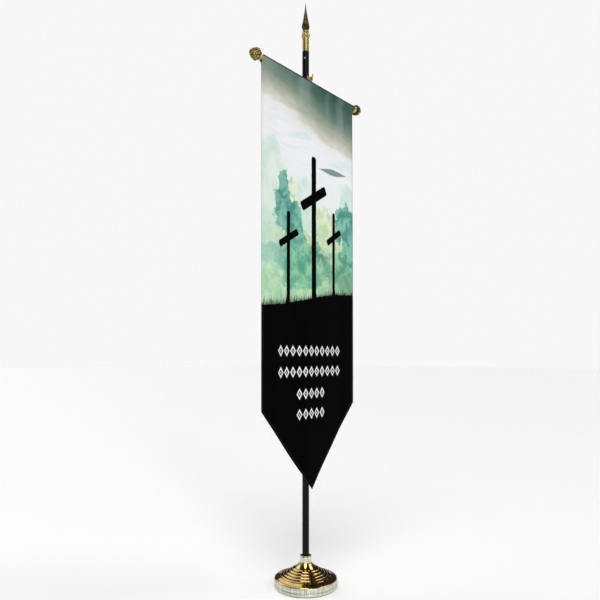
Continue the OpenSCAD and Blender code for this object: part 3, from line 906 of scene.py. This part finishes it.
def ring_of_bosses(origin, axis, height, radius, lean, count, size, shift=0.0, point=0.0):
    """Bosses round an axis: height along it, radius from it, lean degrees from square towards the axis."""
    across = axis.orthogonal().normalized()
    parts = []
    for k in range(count):
        spin = Matrix.Rotation(2 * math.pi * (k + shift) / count, 3, axis)
        out_flat = spin @ across
        out = out_flat * math.cos(math.radians(lean)) + axis * math.sin(math.radians(lean))
        parts.append(boss(origin + axis * height + out_flat * radius, out, axis, size, point))
    return parts


def finial_relief(side):
    """Leaves on the acorn's dome and beads on its cup."""
    name = "left" if side < 0 else "right"
    cup_low, cup_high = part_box(name + "_cup")
    axis = Vector((side, 0, 0))
    origin = Vector(((cup_high.x if side < 0 else cup_low.x), BAR_Y, BAR_Z))
    bead = (2.0 * MM, 1.5 * MM, 1.0 * MM)
    parts = ring_of_bosses(origin, axis, 8.2 * MM, CUP_R - 0.1 * MM, 0, 12, bead)
    dome_foot = cup_high.x - cup_low.x + 4 * MM
    # how far up the dome each row of leaves sits, and a leaf's half width in mm
    for row, (up, leaf) in enumerate(((0.14, 5.2), (0.36, 4.7), (0.57, 3.8), (0.76, 2.6))):
        radius = DOME_R * (1 - up * (1 - DOME_BLUNTNESS + DOME_BLUNTNESS * up))
        slope = DOME_R * (1 - DOME_BLUNTNESS + 2 * DOME_BLUNTNESS * up) / DOME_H
        lean = math.degrees(math.atan(slope))
        size = (leaf * 1.3 * MM, leaf * MM, 1.9 * MM)
        parts += ring_of_bosses(origin, axis, dome_foot + DOME_H * up, radius, lean, 10, size,
                                shift=0.5 * (row % 2), point=0.75)
    new_piece(name + "_acorn_leaves", *merged(parts), [leaf_brass], name + "_finial", "antique_brass")


def spear_relief():
    """Petals at the foot of the spear head and a row of pearls on the bead."""
    head_low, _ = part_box("spear_head")
    bead_low, bead_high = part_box("spear_bead")
    up = Vector((0, 0, 1))
    petal = (10 * MM, 4.2 * MM, 2.0 * MM)
    petals = ring_of_bosses(Vector((0, 0, head_low.z)), up, 11 * MM, 13.2 * MM, -18, 8, petal, point=0.8)
    new_piece("spear_petals", *merged(petals), [antique_spear], "spear", "antique_brass")
    bead_r = (bead_high.x - bead_low.x) / 2
    pearl = (5.5 * MM, 1.9 * MM, 0.9 * MM)
    pearls = ring_of_bosses(Vector((0, 0, bead_low.z)), up, 13 * MM, bead_r - 0.5 * MM, 0, 22, pearl)
    new_piece("spear_pearls", *merged(pearls), [turned_brass], "spear", "turned_brass")


banner, flap_and_pocket = banner_sheet()
trim = banner_trim() + [notch_binding()]
for end in (-1, 1):
    finial_relief(end)
spear_relief()


# ---------- stage, light and camera ----------

FLOOR_HALF = 40
# studio panels: direction round the pole in degrees (0 is +X), half width, low and high sine of
# elevation, strength
PANELS = [
    (-150, 24, -0.2, 0.75, 0.62),
    (-122, 5, -0.2, 0.6, 4.5),
    (-90, 10, -0.2, 0.55, 1.4),
    (-28, 6, -0.2, 0.5, 2.8),
    (112, 38, -0.2, 0.72, 0.75),
    (-141, 100, -0.3, 0.08, 0.62),
]
ROOM_LIGHT = 0.045                  # the room between the panels
BACKDROP = 0.935                    # the room as the camera sees it
# direction towards the sun, strength, spread in degrees
SUNS = [((-0.55, -0.34, 0.95), 1.5, 36), ((0.55, -0.60, 0.8), 0.6, 30), ((0.2, 0.8, 0.9), 0.7, 50)]


def stage_floor():
    """A plain pale floor. A little light of its own lets its far edge melt into the backdrop."""
    n = Nodes("floor")
    cloud = n.noise(n.place(), scale=1.5, detail=2.0)
    material = n.finish(
        Base_Color=n.mix(cloud, rgb(251, 251, 251), rgb(254, 254, 254)),
        Roughness=0.6,
        Emission_Strength=0.075,
    )
    corners = [(x * FLOOR_HALF, y * FLOOR_HALF, 0) for x, y in ((-1, -1), (1, -1), (1, 1), (-1, 1))]
    mesh = bpy.data.meshes.new("floor")
    mesh.from_pydata(corners, [], [(0, 1, 2, 3)])
    mesh.materials.append(material)
    floor = bpy.data.objects.new("floor", mesh)
    scene.collection.objects.link(floor)


def studio():
    """A plain pale backdrop, soft suns, and panels of light round a darker room for the brass to mirror."""
    world = bpy.data.worlds.new("studio")
    world.use_nodes = True
    n = Nodes("studio", world.node_tree)
    x, y, z = n.split(n.add("ShaderNodeTexCoord").outputs["Generated"])
    around = n.times(n.math("ARCTAN2", y, x), 180 / math.pi)
    light = ROOM_LIGHT
    for facing, half, low, high, strength in PANELS:
        away = n.math("PINGPONG", n.minus(around, facing), 180.0)
        tall = n.times(n.step(z, low - 0.06, low + 0.06), n.step(z, high + 0.1, high - 0.1))
        panel = n.times(n.step(away, half + 5, half - 3), tall)
        light = n.larger(light, n.times(panel, strength))
    seen = n.add("ShaderNodeLightPath").outputs["Is Camera Ray"]
    plain = n.times(seen, BACKDROP)
    mirrored = n.times(n.minus(1.0, seen), light)
    n.put(world.node_tree.nodes["Background"],
          {"Color": rgb(255, 255, 255), "Strength": n.plus(plain, mirrored)})
    scene.world = world
    scene.view_settings.view_transform = "Standard"
    for number, (towards, power, spread) in enumerate(SUNS):
        data = bpy.data.lights.new(f"sun_{number}", "SUN")
        data.energy = power
        data.angle = math.radians(spread)
        sun = bpy.data.objects.new(data.name, data)
        sun.rotation_mode = "QUATERNION"
        sun.rotation_quaternion = (-Vector(towards)).to_track_quat("-Z", "Y")
        scene.collection.objects.link(sun)


CAMERA_AZIMUTH = math.radians(-50.89)   # of the camera round the pole, 0 straight in front
CAMERA_DISTANCE = 2.4906
CAMERA_SIDE = 0.0236                    # the camera stands this far to its own left of the pole
CAMERA_HEIGHT = 0.9619
CAMERA_TILT = math.radians(0.628)
CAMERA_LENS = 35.83
CAMERA_SHIFT_Y = 0.0793


def make_camera():
    """The pictured view: nearly level, with the lens shifted up."""
    back = Vector((math.sin(CAMERA_AZIMUTH), -math.cos(CAMERA_AZIMUTH), 0))
    right = Vector((math.cos(CAMERA_AZIMUTH), math.sin(CAMERA_AZIMUTH), 0))
    data = bpy.data.cameras.new("camera")
    data.sensor_width = 36
    data.lens = CAMERA_LENS
    data.shift_y = CAMERA_SHIFT_Y
    camera = bpy.data.objects.new("camera", data)
    camera.location = back * CAMERA_DISTANCE - right * CAMERA_SIDE + Vector((0, 0, CAMERA_HEIGHT))
    look = -back * math.cos(CAMERA_TILT) + Vector((0, 0, math.sin(CAMERA_TILT)))
    camera.rotation_mode = "QUATERNION"
    camera.rotation_quaternion = look.to_track_quat("-Z", "Y")
    scene.collection.objects.link(camera)
    scene.camera = camera


stage_floor()
studio()
make_camera()
